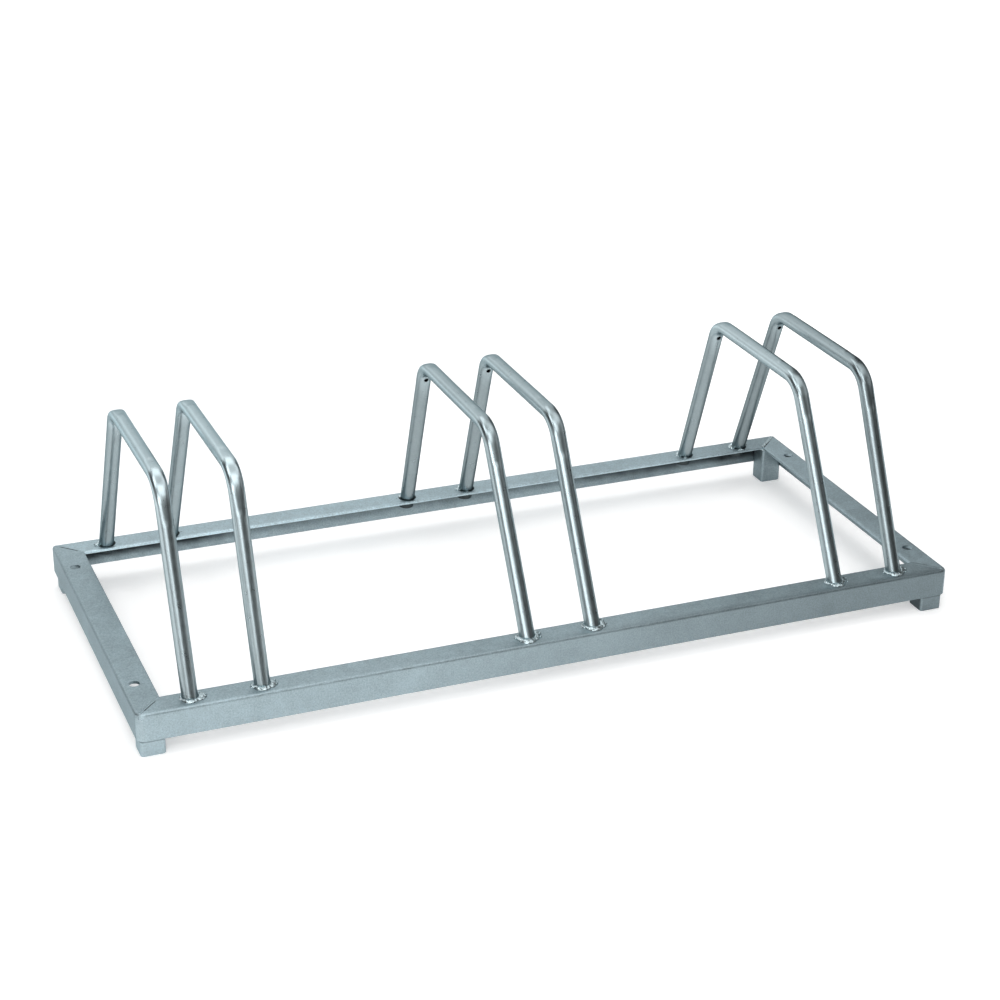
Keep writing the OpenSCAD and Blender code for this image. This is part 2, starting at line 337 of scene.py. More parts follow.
def hoop_path(p0, p1, p2, p3, r1, r2):
    """Stations along the hoop: [depth, height, angle of travel, length so far, place]."""
    a1 = math.atan2(p1[1] - p0[1], p1[0] - p0[0])
    a2 = math.atan2(p2[1] - p1[1], p2[0] - p1[0])
    a3 = math.atan2(p3[1] - p2[1], p3[0] - p2[0])
    t1, t2 = r1 * math.tan((a1 - a2) / 2), r2 * math.tan((a2 - a3) / 2)
    def at(p, a, d):
        return (p[0] + d * math.cos(a), p[1] + d * math.sin(a))
    q = [at(p1, a1, -t1), at(p1, a2, t1), at(p2, a2, -t2), at(p2, a3, t2)]
    c1 = (q[0][0] + r1 * math.sin(a1), q[0][1] - r1 * math.cos(a1))
    c2 = (q[2][0] + r2 * math.sin(a2), q[2][1] - r2 * math.cos(a2))
    out, s = [], 0.0
    def line(p, e, a, step, last=False):
        nonlocal s
        d = math.dist(p, e)
        n = max(2, round(d / step))
        for k in range(n + (1 if last else 0)):
            f = k / n
            out.append([p[0] + (e[0] - p[0]) * f, p[1] + (e[1] - p[1]) * f, a, s + d * f])
        s += d
    def arc(c, r, b, e, step):
        nonlocal s
        d = r * (b - e)
        n = max(4, round(d / step))
        for k in range(n):
            g = b + (e - b) * k / n
            out.append([c[0] + r * math.cos(g), c[1] + r * math.sin(g), g - math.pi / 2, s + d * k / n])
        s += d
    line(p0, q[0], a1, 3.2)
    s1 = s
    arc(c1, r1, a1 + math.pi / 2, a2 + math.pi / 2, 1.2)
    s2 = s
    line(q[1], q[2], a2, 2.6)
    s3 = s
    arc(c2, r2, a2 + math.pi / 2, a3 + math.pi / 2, 0.9)
    s4 = s
    line(q[3], p3, a3, 3.2, last=True)
    return out, (s1, s2, s3, s4, s), (c1, c2), (a1, a2, a3)


def bump(x, centre, half):
    d = abs(x - centre) / half
    return 0.5 + 0.5 * math.cos(math.pi * d) if d < 1 else 0.0


# Small differences between the six hand-bent hoops: flatness of the front and rear bends,
# open vent, and where the tube's seam runs
VARY = [
    dict(flat=0.22, rear=0.32, vent=False, seam=3.55, seed=1),
    dict(flat=0.22, rear=0.32, vent=False, seam=3.75, seed=2),
    dict(flat=0.15, rear=0.25, vent=True, seam=None, seed=3),
    dict(flat=0.16, rear=0.25, vent=True, seam=None, seed=4),
    dict(flat=0.14, rear=0.26, vent=True, seam=None, seed=5),
    dict(flat=0.15, rear=0.24, vent=True, seam=None, seed=6),
]
N_RING, N_BORE = 64, 32


def hoop(i):
    v, x = VARY[i], HOOP_X[i]
    p0, p1, p2, p3 = corners(i)
    st, (s1, s2, s3, s4, s5), (c1, c2), (a1, a2, a3) = hoop_path(p0, p1, p2, p3, BEND_F, BEND_R)
    mf, mr = (s1 + s2) / 2 - 1.0, (s3 + s4) / 2
    vent_s = s4 - math.radians(8.0) * BEND_R
    verts, marks = [], []
    def ring(k, n, radius, inner):
        y, z, a, s = st[k]
        nx = (-math.sin(a), math.cos(a))
        wf = bump(s, mf, 40.0) * v["flat"]
        wr = bump(s, mr, 26.0) * v["rear"]
        w = max(wf, wr)
        for j in range(n):
            th = 2 * math.pi * j / n
            c, sn = math.cos(th), math.sin(th)
            # flattened outside of a bend, and the sides pushed out by it
            wide = 1.0 + 0.16 * w
            rad = radius / math.sqrt((c / (1 - 0.10 * w)) ** 2 + (sn / wide) ** 2)
            if c > 0.05 and w > 0.001:
                flat = (radius * (1 - w)) / c
                rad = (rad ** -8 + flat ** -8) ** (-1 / 8)
            if c < -0.05 and w > 0.001:
                flat = (radius * (1 - 0.35 * w)) / -c
                rad = (rad ** -14 + flat ** -14) ** (-1 / 14)
            py, pz = y + rad * c * nx[0], z + rad * c * nx[1]
            px = x + rad * sn
            mark = 0.0
            if not inner:
                p = (px * 1.0 + v["seed"] * 40, py, pz)
                rad += 0.06 * vnoise(p, 0.035) + 0.010 * vnoise(p, 0.12)
                rad += 0.006 * vnoise(p, 0.35) * (0.2 + w)
                if v["seam"] is not None and s > s3 - 4:
                    d = abs(((th - v["seam"] + math.pi) % (2 * math.pi)) - math.pi) * radius
                    g = math.exp(-(d / 0.55) ** 2)
                    rad -= 0.14 * g
                    mark = max(mark, 0.75 * g * (0.55 + 0.45 * vnoise(p, 0.2, 3)))
                # vent: a lip round the hole, or a dimple where zinc has closed it
                ds = (s - vent_s) * (BEND_R - R) / BEND_R if s < s4 else (s - s4) + (s4 - vent_s) * (BEND_R - R) / BEND_R
                dt = (((th - math.pi + math.pi) % (2 * math.pi)) - math.pi) * radius
                d = math.hypot(ds, dt)
                if v["vent"]:
                    rad += 0.22 * math.exp(-((d - 3.6) / 0.8) ** 2)
                else:
                    rad += 0.20 * math.exp(-((d - 3.0) / 0.7) ** 2) - 0.55 * math.exp(-(d / 1.7) ** 2)
                py, pz = y + rad * c * nx[0], z + rad * c * nx[1]
                px = x + rad * sn
            # both ends are cut level
            for aa, lo, hi in ((a1, 0.0, 30.0), (a3, s5 - 30.0, s5)):
                if lo <= s <= hi:
                    share = 1 - (s - lo) / 30.0 if lo == 0.0 else (s - lo) / 30.0
                    off = rad * c * math.cos(aa)          # height of this point over its station
                    slide = -off / math.sin(aa) * share
                    py += slide * math.cos(aa)
                    pz += slide * math.sin(aa)
            if not inner and pz < UNDER + 0.4:
                mark = 0.55 if v["seed"] == 4 and c > 0 else 0.95      # painted shade on the unwelded end below the rail's top leg
            verts.append((px, py, pz))
            marks.append(mark)
    n_out = len(st)
    for k in range(n_out):
        ring(k, N_RING, R, False)
    base = len(verts)
    keep = list(range(0, n_out, 2))
    if keep[-1] != n_out - 1:
        keep.append(n_out - 1)
    for k in keep:
        ring(k, N_BORE, R - 1.5, True)
    faces = []
    for k in range(n_out - 1):
        for j in range(N_RING):
            j2 = (j + 1) % N_RING
            faces.append((k * N_RING + j, k * N_RING + j2, (k + 1) * N_RING + j2, (k + 1) * N_RING + j))
    nb = len(keep)
    for k in range(nb - 1):
        for j in range(N_BORE):
            j2 = (j + 1) % N_BORE
            faces.append((base + k * N_BORE + j2, base + k * N_BORE + j, base + (k + 1) * N_BORE + j, base + (k + 1) * N_BORE + j2))
    q = N_RING // N_BORE
    for outer, inner, flip in ((0, base, False), ((n_out - 1) * N_RING, base + (nb - 1) * N_BORE, True)):
        for j in range(N_BORE):
            j2 = (j + 1) % N_BORE
            f = [outer + (q * j + t) % N_RING for t in range(q + 1)] + [inner + j2, inner + j]
            faces.append(f if flip else f[::-1])
    ob = make(f"hoop_{i + 1}_tube", verts, faces, [M_TUBE], [f"hoop_{i + 1}"], 50.0)
    at = ob.data.attributes.new("mark", "FLOAT", "POINT")
    at.data.foreach_set("value", np.array(marks, np.float32))
    if v["vent"]:
        g = a3 + math.radians(98.0)
        d = BEND_R - R
        cut(ob, [cylinder("cutter", (x, c2[0] + (d + 1.0) * math.cos(g), c2[1] + (d + 1.0) * math.sin(g)),
                          (0, math.cos(g), math.sin(g)), 2.6, 6.5, 28)], 50.0)
    return ob


for i in range(6):
    hoop(i)


# ---------------------------------------------------------------- rails
def arc_points(cx, cy, r, a, b, n):
    return [(cx + r * math.cos(math.radians(a + (b - a) * k / n)), cy + r * math.sin(math.radians(a + (b - a) * k / n))) for k in range(n + 1)]


def angle_outline():
    """Closed outline of the steel angle: u inwards from the outer face, w up from the lower edge."""
    e, ri = 0.9, 2.2
    pts = []
    pts += arc_points(e, e, e, 270, 180, 4)
    pts += [(0, LEG * k / 6) for k in range(1, 6)]
    pts += arc_points(FOLD, LEG - FOLD, FOLD, 180, 90, 7)
    pts += [(LEG * k / 6, LEG) for k in range(1, 6)]
    pts += arc_points(LEG - e, LEG - e, e, 90, 0, 4)
    pts += arc_points(LEG - e, LEG - T + e, e, 0, -90, 4)
    pts += [(LEG * k / 6, LEG - T) for k in (4, 2)]
    pts += arc_points(T + ri, LEG - T - ri, ri, 90, 180, 4)
    pts += [(T, LEG * k / 12) for k in (9, 8, 7, 6, 5, 4, 2)]
    pts += arc_points(T - e, e, e, 0, -90, 4)
    out = []
    for p in pts:
        if not out or math.dist(p, out[-1]) > 0.05:
            out.append(p)
    if math.dist(out[0], out[-1]) < 0.05:
        out.pop()
    return out


def round_corner(a, u, c):
    """Plan position near a ground corner of radius c: a along the rail from its end, u inwards."""
    if u < c and a < c:
        f = math.radians(45.0) * (c - a) / (c - u)
        return c - (c - u) * math.sin(f), c - (c - u) * math.cos(f)
    return a, u


def rail(name, length, place, seed, cutters, ends=(CORNER, CORNER)):
    """A mitred angle. place turns (along, inwards, height) in mm into the row frame."""
    outline = angle_outline()
    taus = [0, 0.02, 0.045, 0.07, 0.095, 0.12, 0.15, 0.18, 0.22, 0.27, 0.35, 0.5, 0.7, 1.0]
    n_mid = max(8, round((length - 70) / 9.0))
    verts = []
    rings = [("l", t) for t in taus] + [("m", k / n_mid) for k in range(1, n_mid)] + [("r", t) for t in taus[::-1]]
    for kind, t in rings:
        for u, w in outline:
            if kind == "m":
                a = 35 + (length - 70) * t
                pa, pu = a, u
            else:
                a = u + (35 - u) * t
                pa, pu = round_corner(a, u, ends[kind == "r"])
                if kind == "r":
                    pa = length - pa
            q = (pa + seed * 100, pu, w)
            # rolled steel is never quite straight or flat
            bow = 0.16 * vnoise((pa, 0, 0), 0.006, seed)
            dent = 0.05 * vnoise(q, 0.05, seed) + 0.03 * vnoise(q, 0.14, seed)
            edge = 1.0 if kind == "m" else t
            pu2 = pu + (bow * 0.5 + dent) * edge
            w2 = w + (bow * 0.4 + dent * 0.6) * edge
            if w < 0.01:
                w2 = max(w2, 0.0)
            pu2 = max(pu2, 0.0) if pu < 0.01 else pu2
            verts.append(place(pa, pu2, DROP + min(w2, LEG + 0.05)))
    n = len(outline)
    faces = []
    for k in range(len(rings) - 1):
        for j in range(n):
            j2 = (j + 1) % n
            faces.append((k * n + j, k * n + j2, (k + 1) * n + j2, (k + 1) * n + j))
    faces.append(tuple(range(n))[::-1])
    faces.append(tuple(range((len(rings) - 1) * n, len(rings) * n)))
    ob = make(name + "_angle", verts, faces, [M_RAIL], [name], 40.0)
    cut(ob, cutters, 40.0)
    at = ob.data.attributes.new("mark", "FLOAT", "POINT")
    painted_shade = []
    for v in ob.data.vertices:
        x, y, z = v.co / MM
        inside = min(HL - abs(x), HW - abs(y))
        # painted shade along the lower edge
        dark = 0.45 if z < DROP + 0.5 else 0.0
        if T - 0.4 < inside < T + 2.4 and z < UNDER + 0.2:
            # painted shade on the inner face under the top leg, darkest just under it and lighter towards the bottom,
            # most of all at the rear rail's two ends
            far = 0.48 * (1 - ramp(x, -300, -225)) + 0.18 * ramp(x, 150, 240) + 0.35 * ramp(x, 310, 400) if name == "rear_rail" else 0.1
            dark = 0.15 + 0.14 * ramp(x, 150, 240) + (0.36 + far) * ramp(z, DROP + 3, DROP + 14) + (0.08 + 0.2 * far) * (vnoise((x, y, z), 0.09, seed) + vnoise((x, y, z), 0.3, seed))
        painted_shade.append(min(1.0, max(0.0, dark)))
    at.data.foreach_set("value", np.array(painted_shade, np.float32))
    return ob


def holes(rear):
    out = []
    for i, x in enumerate(HOOP_X):
        y = (LEG_R if rear else LEG_F) - slopes(i)[rear] * T / 2
        out.append(cylinder("cutter", (x, y, UNDER + T / 2), (0, 0, 1), HOLE_D / 2, 12, 48))
    return out


def anchors(s):
    return [cylinder("cutter", (s * ANCHOR_X / 2, t * ANCHOR_Y / 2, UNDER + T / 2), (0, 0, 1), ANCHOR_D / 2, 12, 40) for t in (-1, 1)]


rail("front_rail", 2 * HL, lambda a, u, z: (-HL + a, -HW + u, z), 1, holes(0), (C_FL, C_FR))
rail("rear_rail", 2 * HL, lambda a, u, z: (-HL + a, HW - u, z), 2, holes(1))
rail("left_rail", 2 * HW, lambda a, u, z: (-HL + u, -HW + a, z), 3, anchors(-1), (C_FL, CORNER))
rail("right_rail", 2 * HW, lambda a, u, z: (HL - u, -HW + a, z), 4, anchors(1), (C_FR, CORNER))


# ---------------------------------------------------------------- feet
def square_ring(s, r, grow, n=5):
    """Outline of a square tube of side s with corner radius r, its corner at (0, 0), drawn in by grow."""
    r = max(0.4, r - grow)
    lo, hi = grow, s - grow
    pts = []
    for cx, cy, a in ((hi - r, lo + r, -90), (hi - r, hi - r, 0), (lo + r, hi - r, 90), (lo + r, lo + r, 180)):
        pts += arc_points(cx, cy, r, a, a + 90, n)
        b = math.radians(a + 90)
    full = []
    for k, p in enumerate(pts):
        full.append(p)
        q = pts[(k + 1) % len(pts)]
        if math.dist(p, q) > 8:
            full += [(p[0] + (q[0] - p[0]) * f, p[1] + (q[1] - p[1]) * f) for f in (0.2, 0.4, 0.6, 0.8)]
    return full


def foot(name, sx, sy, seed):
    levels = [(0.0, 0.55), (0.12, 0.25), (0.35, 0.08), (0.8, 0.0)] + [(z, 0.0) for z in (3.0, 6.0, 9.0, 12.0, 14.0, 14.8, 15.4, 16.4, 20.0, UNDER)]
    bore = [(UNDER, WALL)] + [(0.6 + (UNDER - 0.6) * k / 8, WALL) for k in range(7, -1, -1)] + [(0.0, WALL - 0.45)]
    verts = []
    for z, g in levels + bore:
        ring = square_ring(FOOT, 3.4, g)
        for px, py in ring:
            q = (px + seed * 60, py, z)
            d = 0.05 * vnoise(q, 0.11, seed) if 0.9 < z < UNDER - 1 else 0.0
            cx, cy = px - FOOT / 2, py - FOOT / 2
            px, py = px + d * cx / 12.5, py + d * cy / 12.5
            verts.append((sx * (-HL + T + px), sy * (-HW + T + py), z))
    n = len(square_ring(FOOT, 3.4, 0))
    total = len(levels) + len(bore)
    faces = []
    for k in range(total):
        k2 = (k + 1) % total
        for j in range(n):
            j2 = (j + 1) % n
            faces.append((k * n + j, k * n + j2, k2 * n + j2, k2 * n + j))
    ob = make(name + "_block", verts, faces, [M_FOOT], [name], 40.0)
    at = ob.data.attributes.new("mark", "FLOAT", "POINT")
    # painted shade: a dark band on the outer faces from just under the rail's lower edge upwards
    at.data.foreach_set("value", np.array([0.50 * ramp(z, 14.8, 15.8) if min(HL - abs(x), HW - abs(y)) < T + 1.0 else 0.0 for x, y, z in verts], np.float32))
    return ob


foot("foot_front_left", 1, 1, 1)
foot("foot_front_right", -1, 1, 2)
foot("foot_rear_left", 1, -1, 3)
foot("foot_rear_right", -1, -1, 4)


# ---------------------------------------------------------------- welds
def blob(verts, faces, marks, centre, radius, squash, seed, n=10):
    """A drop of metal: a closed lumpy ball, flattened along Z, added to the lists."""
    base = len(verts)
    rows = n // 2 + 1
    for a in range(1, rows):
        la = math.pi * a / rows
        for b in range(n):
            lo = 2 * math.pi * b / n
            d = Vector((math.sin(la) * math.cos(lo), math.sin(la) * math.sin(lo), math.cos(la)))
            r = radius * (1 + 0.18 * noise.noise(d * 1.7 + Vector((seed, 0, 0))))
            verts.append((centre[0] + d.x * r, centre[1] + d.y * r, centre[2] + d.z * r * squash))
            marks.append(0.0)
    verts.append((centre[0], centre[1], centre[2] + radius * squash))
    verts.append((centre[0], centre[1], centre[2] - radius * squash))
    marks += [0.0, 0.0]
    tip, low = len(verts) - 2, len(verts) - 1
    for b in range(n):
        b2 = (b + 1) % n
        faces.append((tip, base + b, base + b2))
        for a in range(rows - 2):
            faces.append((base + a * n + b, base + (a + 1) * n + b, base + (a + 1) * n + b2, base + a * n + b2))
        faces.append((low, base + (rows - 2) * n + b2, base + (rows - 2) * n + b))


def collar(name, x, y0, lean, profile, seed, drops):
    """Weld metal round a leg. lean is the leg's depth per mm of height; profile(angle) gives the
    bead's reach out from the tube and its height, in mm, where angle 0 is +X and -90 the front."""
    verts, faces, marks = [], [], []
    n, c = 96, 16
    stretch = math.hypot(1, lean)
    for j in range(n):
        f = 2 * math.pi * j / n
        deg = math.degrees(f)
        reach, high = profile(deg)
        for k in range(c):
            g = 2 * math.pi * k / c
            # a flat drop-shaped section that sits on the rail and climbs the tube a little
            t = (1 - math.cos(g)) / 2                       # 0 at the tube, 1 at the outer toe
            up = math.sin(g)
            r = R - 0.9 + (reach + 0.9) * t
            # where no metal was laid the ring lies down in the hole
            z = min(0.0, high) + (0.12 + max(0.0, high) * up ** 0.8 * (1 - 0.35 * t) if up > 0 else 1.2 * up)
            d = Vector((math.cos(f), math.sin(f), 0))
            q = (x + d.x * r, y0 + d.y * r, z)
            lump = 0.34 * vnoise(q, 0.42, seed) + 0.26 * vnoise(q, 0.85, seed + 3)
            ripple = 0.10 * math.sin(f * 19 + seed) * max(0.0, min(1, high / 2))
            if up > 0.05:
                z += (lump * 1.3 + ripple) * max(0.0, min(1.0, high / 1.6))
                r += lump * 0.7 * t
            shift = lean * z
            verts.append((x + d.x * r, y0 + d.y * r * stretch + shift, TOP + z))
            # pits darken the weld; painted shade at the tube's root where the bead is thin, and down in the gap of the
            # hole
            pit = ramp(-vnoise(q, 0.55, seed + 7), 0.22, 0.5)
            marks.append(max(pit * 0.9 if up > 0 else 0.0, 0.85 if (t < 0.12 and high < 1.2) else 0.0, 1.0 - ramp(high, -0.8, 0.2)))
    for j in range(n):
        j2 = (j + 1) % n
        for k in range(c):
            k2 = (k + 1) % c
            faces.append((j * c + k, j2 * c + k, j2 * c + k2, j * c + k2))
    for deg, dist, rad, sq in drops:
        f = math.radians(deg)
        blob(verts, faces, marks, (x + math.cos(f) * (R + dist), y0 + math.sin(f) * (R + dist), TOP + rad * sq * 0.35), rad, sq, seed + deg * 0.1)
    ob = make(name + "_bead", verts, faces, [M_WELD], [name], 60.0)
    at = ob.data.attributes.new("mark", "FLOAT", "POINT")
    at.data.foreach_set("value", np.array(marks, np.float32))
    return ob


def lobes(*parts, floor=(1.6, 0.7)):
    """Bead profile from lobes: (middle angle, half width, reach, height)."""
    def profile(deg):
        reach, high = floor
        for mid, half, r, h in parts:
            d = abs((deg - mid + 180) % 360 - 180) / half
            if d < 1:
                w = (1 - d * d) ** 1.2
                reach, high = max(reach, floor[0] + (r - floor[0]) * w), max(high, floor[1] + (h - floor[1]) * w)
        return reach, high
    return profile


FRONT = [
    (lobes((262, 75, 4.6, 2.6), (345, 55, 7.6, 2.4), (20, 30, 5.6, 1.8)), [(-18, 6.6, 1.7, 0.8), (4, 5.6, 1.3, 0.9), (-35, 6.4, 1.0, 0.7), (-2, 8.0, 0.8, 0.7)]),
    (lobes((258, 85, 5.4, 2.8), (335, 55, 6.4, 2.5), (195, 40, 4.6, 2.1)), [(-24, 5.8, 1.5, 0.8), (8, 5.2, 1.2, 0.9), (200, 4.6, 1.0, 0.8), (-5, 7.4, 0.8, 0.7)]),
    (lobes((240, 80, 6.6, 3.0), (330, 50, 5.0, 2.4), (10, 40, 6.0, 2.5), (180, 35, 5.4, 2.0)), [(2, 6.0, 1.6, 0.9), (-30, 5.6, 1.3, 0.8), (186, 5.6, 1.3, 0.9), (222, 6.4, 1.2, 0.7)]),
    (lobes((262, 85, 5.2, 2.7), (340, 50, 6.2, 2.6), (25, 35, 5.4, 2.5), (185, 35, 4.8, 2.0)), [(16, 5.8, 1.5, 1.0), (-14, 6.2, 1.3, 0.8), (190, 5.0, 1.1, 0.8), (-30, 6.6, 0.8, 0.7)]),
    (lobes((268, 80, 5.0, 2.4), (5, 60, 5.8, 2.7), (185, 30, 4.2, 1.8)), [(0, 5.4, 1.5, 0.9), (190, 4.6, 1.0, 0.8), (-25, 5.8, 1.0, 0.7)]),
    (lobes((262, 80, 5.2, 2.6), (350, 60, 6.0, 2.5), (190, 30, 4.4, 2.0)), [(-10, 6.0, 1.5, 0.8), (15, 5.8, 1.0, 0.8), (188, 4.8, 1.0, 0.8), (-35, 5.8, 0.9, 0.7)]),
]
GAP = (2.25, -1.7)
REAR = [
    (lobes((172, 30, 4.6, 2.4), (95, 70, 3.6, 2.0), floor=GAP), [(186, 4.4, 1.3, 0.8), (172, 5.2, 0.9, 0.7)]),
    (lobes((85, 80, 3.8, 2.0), (180, 30, 3.6, 1.8), floor=GAP), [(5, 4.6, 0.8, 0.8)]),
    (lobes((95, 75, 3.6, 1.8), floor=GAP), [(172, 4.6, 0.8, 0.7)]),
    (lobes((172, 30, 4.8, 2.4), (95, 65, 3.8, 2.0), (262, 22, 2.6, 1.0), floor=GAP), [(186, 4.6, 1.3, 0.8), (168, 5.4, 0.9, 0.7), (262, 2.6, 0.9, 0.8)]),
    (lobes((180, 40, 4.2, 2.0), (250, 26, 3.2, 1.6), (95, 65, 3.4, 1.8), floor=GAP), [(194, 4.2, 1.1, 0.8), (250, 3.6, 1.0, 0.9)]),
    (lobes((176, 45, 4.8, 2.6), (262, 36, 3.6, 2.2), (20, 30, 3.6, 2.0), (95, 60, 3.4, 1.8), floor=GAP), [(190, 4.6, 1.5, 0.9), (255, 4.2, 1.1, 0.9), (10, 4.2, 1.0, 0.8)]),
]
for i in range(6):
    profile, drops = FRONT[i]
    collar(f"front_weld_{i + 1}", HOOP_X[i], LEG_F, slopes(i)[0], profile, 11 + i, drops)
    profile, drops = REAR[i]
    collar(f"rear_weld_{i + 1}", HOOP_X[i], LEG_R, slopes(i)[1], profile, 31 + i, drops)


def corner_strip(name, sx, sy, seed, high, wide, groove, blobs=(), c0=CORNER, lumps=0.0):
    """Ground weld over a mitre: along the diagonal of the top and down the outer corner."""
    path = []
    d0 = math.sqrt(2) * (LEG - 0.5)
    tip = (math.sqrt(2) - 1) * c0
    for k in range(26):
        path.append((d0 + (tip + FOLD - d0) * k / 26, LEG, (0, 1), 0.0))
    for k in range(9):
        a = math.radians(90 + 90 * k / 8)
        path.append((tip + FOLD + FOLD * math.cos(a), LEG - FOLD + FOLD * math.sin(a), (math.cos(a), math.sin(a)), k / 8))
    for k in range(1, 31):
        path.append((tip, (LEG - FOLD) * (1 - k / 31.0), (-1, 0), 1.0))
    verts, faces, marks = [], [], []
    c = 13
    seam = 1.5 if lumps else 0.0     # the joint line lies a little to one side of the mitre
    for idx, (d, w, nrm, bent) in enumerate(path):
        t = idx / (len(path) - 1)
        for k in range(2 * c):
            top = k < c
            e = (k if top else 2 * c - 1 - k) / (c - 1) * 2 - 1      # -1 to 1 across, closer together in the middle
            e = 0.55 * e + 0.45 * e ** 3
            q = (d * 3 + seed * 50, w * 3, e * 4)
            ww = (min(wide, 2.5) + max(0.0, wide - 2.5) * ramp(bent, 0.35, 1.0)) * (1 + 0.22 * vnoise((d, w, 0), 0.35, seed))
            x = e * ww
            drop = (c0 - math.sqrt(max(0.1, c0 ** 2 - x * x))) * bent
            if top:
                full = 1.0 if high < 0.3 else 0.25 + 0.75 * ramp(d, 18, 25)
                h = high * full * (1 - e * e) ** 0.7 * (0.75 + 0.7 * vnoise((d, w, e * 2), 0.5, seed)) + 0.02
                g = groove * math.exp(-((e * min(wide, 2.5) - seam) / 0.55) ** 2) * (1 - bent) * ramp(d, 9, 14) * ramp(36 - d, 0, 5)
                h = max(0.05, h - g)
                if lumps:
                    h += lumps * bent * (1 - e * e) * (0.5 + vnoise((e * 2.0, w, 0), 0.42, seed + 5) + 0.6 * vnoise((e * 2.0, w, 0), 0.9, seed + 8))
                if lumps and bent > 0:       # the fold itself was dressed flush
                    h -= 0.7 * (1 - ramp(LEG - FOLD - w, 0.5, 3.0))
                if k in (0, c - 1):
                    h = min(h, -0.10)
            else:
                h = -0.8
            dd, ww2 = d + nrm[0] * (h - drop), w + nrm[1] * (h - drop)
            px = dd / math.sqrt(2) + x / math.sqrt(2)
            py = dd / math.sqrt(2) - x / math.sqrt(2)
            verts.append((sx * (-HL + px), sy * (-HW + py), DROP + ww2))
            dark = math.exp(-((e * min(wide, 2.5) - seam) / 0.62) ** 2) * (1 - bent) * ramp(d, 9, 14) * ramp(36 - d, 0, 5) if groove > 0.1 and top else 0.0
            marks.append(min(1.0, dark * 1.2))
    m2 = 2 * c
    for a in range(len(path) - 1):
        for k in range(m2):
            k2 = (k + 1) % m2
            faces.append((a * m2 + k, a * m2 + k2, (a + 1) * m2 + k2, (a + 1) * m2 + k))
    faces.append(tuple(range(m2))[::-1])
    faces.append(tuple(range((len(path) - 1) * m2, len(path) * m2)))
    for d, off, z, rad, sq in blobs:
        px, py = d / math.sqrt(2) + off / math.sqrt(2), d / math.sqrt(2) - off / math.sqrt(2)
        blob(verts, faces, marks, (sx * (-HL + px), sy * (-HW + py), DROP + LEG + z), rad, sq, seed + d)
    ob = make(name + "_bead", verts, faces, [M_GROUND if lumps else M_WELD if high >= 0.4 else M_RAIL], [name], 50.0)
    at = ob.data.attributes.new("mark", "FLOAT", "POINT")
    at.data.foreach_set("value", np.array(marks, np.float32))
    return ob


corner_strip("corner_weld_front_left", 1, 1, 1, 0.12, 6.0, 0.55, c0=C_FL, lumps=0.13)
corner_strip("corner_weld_rear_left", 1, -1, 2, 0.16, 2.0, 0.30)
corner_strip("corner_weld_front_right", -1, 1, 3, 0.22, 2.4, 0.0, ((7.5, 0.6, -0.3, 1.6, 0.6), (20, -1.5, 0.1, 0.8, 0.5)), c0=C_FR)
corner_strip("corner_weld_rear_right", -1, -1, 4, 0.40, 2.6, 0.0, ((40.5, 0.0, 0.3, 2.1, 0.7), (30, 1.2, 0.2, 1.3, 0.6), (18, -0.8, 0.2, 1.2, 0.5)))


def foot_bead(name, sx, sy, seed):
    """Lumpy fillet along the two inner faces of a foot, under the frame's top legs."""
    f = T + FOOT
    path = [(T + 1.2 + k * (f + 1.6 - T - 1.2) / 17, f, (0, 1)) for k in range(17)]
    for k in range(6):
        a = math.radians(90 - 90 * k / 5)
        path.append((f - 0.2 + 1.8 * math.cos(a) * 0, f, (math.cos(a), math.sin(a))))
    path += [(f, f - 1.2 - k * (f - T - 2.4) / 17, (1, 0)) for k in range(17)]
    verts, faces, marks = [], [], []
    c = 10
    for idx, (px, py, nrm) in enumerate(path):
        size = 2.9 * (1 + 0.20 * vnoise((px, py, 0), 0.3, seed) + 0.12 * math.sin(idx * 1.9))
        if idx in (0, len(path) - 1):
            size *= 0.5
        for k in range(c):
            g = 2 * math.pi * k / c
            r, z = math.cos(g) * size * 0.62 + size * 0.18, math.sin(g) * size * 0.62 - size * 0.25
            q = (px + nrm[0] * r, py + nrm[1] * r, z)
            lump = 0.3 * vnoise(q, 0.6, seed)
            r, z = r + lump, min(z + lump, 0.3)
            verts.append((sx * (-HL + px + nrm[0] * r), sy * (-HW + py + nrm[1] * r), UNDER + z))
            marks.append(ramp(-vnoise(q, 0.5, seed + 2), 0.2, 0.5) * 0.7)
    for a in range(len(path) - 1):
        for k in range(c):
            k2 = (k + 1) % c
            faces.append((a * c + k, a * c + k2, (a + 1) * c + k2, (a + 1) * c + k))
    faces.append(tuple(range(c))[::-1])
    faces.append(tuple(range((len(path) - 1) * c, len(path) * c)))
    ob = make(name + "_bead", verts, faces, [M_WELD], [name], 60.0)
    at = ob.data.attributes.new("mark", "FLOAT", "POINT")
    at.data.foreach_set("value", np.array(marks, np.float32))
    return ob


foot_bead("foot_weld_front_left", 1, 1, 1)
foot_bead("foot_weld_front_right", -1, 1, 2)
foot_bead("foot_weld_rear_left", 1, -1, 3)
foot_bead("foot_weld_rear_right", -1, -1, 4)

# ---------------------------------------------------------------- how light each piece is made: its coat, and painted light and shade, set piece by piece
COAT_AND_PAINTED_LIGHT = {"front_rail": 1.15, "rear_rail": 1.25, "left_rail": 1.03, "right_rail": 1.18,
        "hoop_1": 1.44, "hoop_2": 1.47, "hoop_3": 1.17, "hoop_4": 1.16, "hoop_5": 1.22, "hoop_6": 0.99,
        "foot_front_left": 1.26, "foot_front_right": 0.65, "foot_rear_left": 1.0, "foot_rear_right": 0.78,
        "corner_weld_front_left": 1.02, "corner_weld_rear_left": 1.05, "corner_weld_front_right": 0.90, "corner_weld_rear_right": 0.85}


def fold_highlight(d, along, seed):
    """A painted highlight along the outer fold of an angle: lighter and a little uneven."""
    return 1.0 + 0.16 * math.exp(-(d / 1.1) ** 2) * (0.75 + 0.9 * vnoise((along, 0, 0), 0.07, seed))


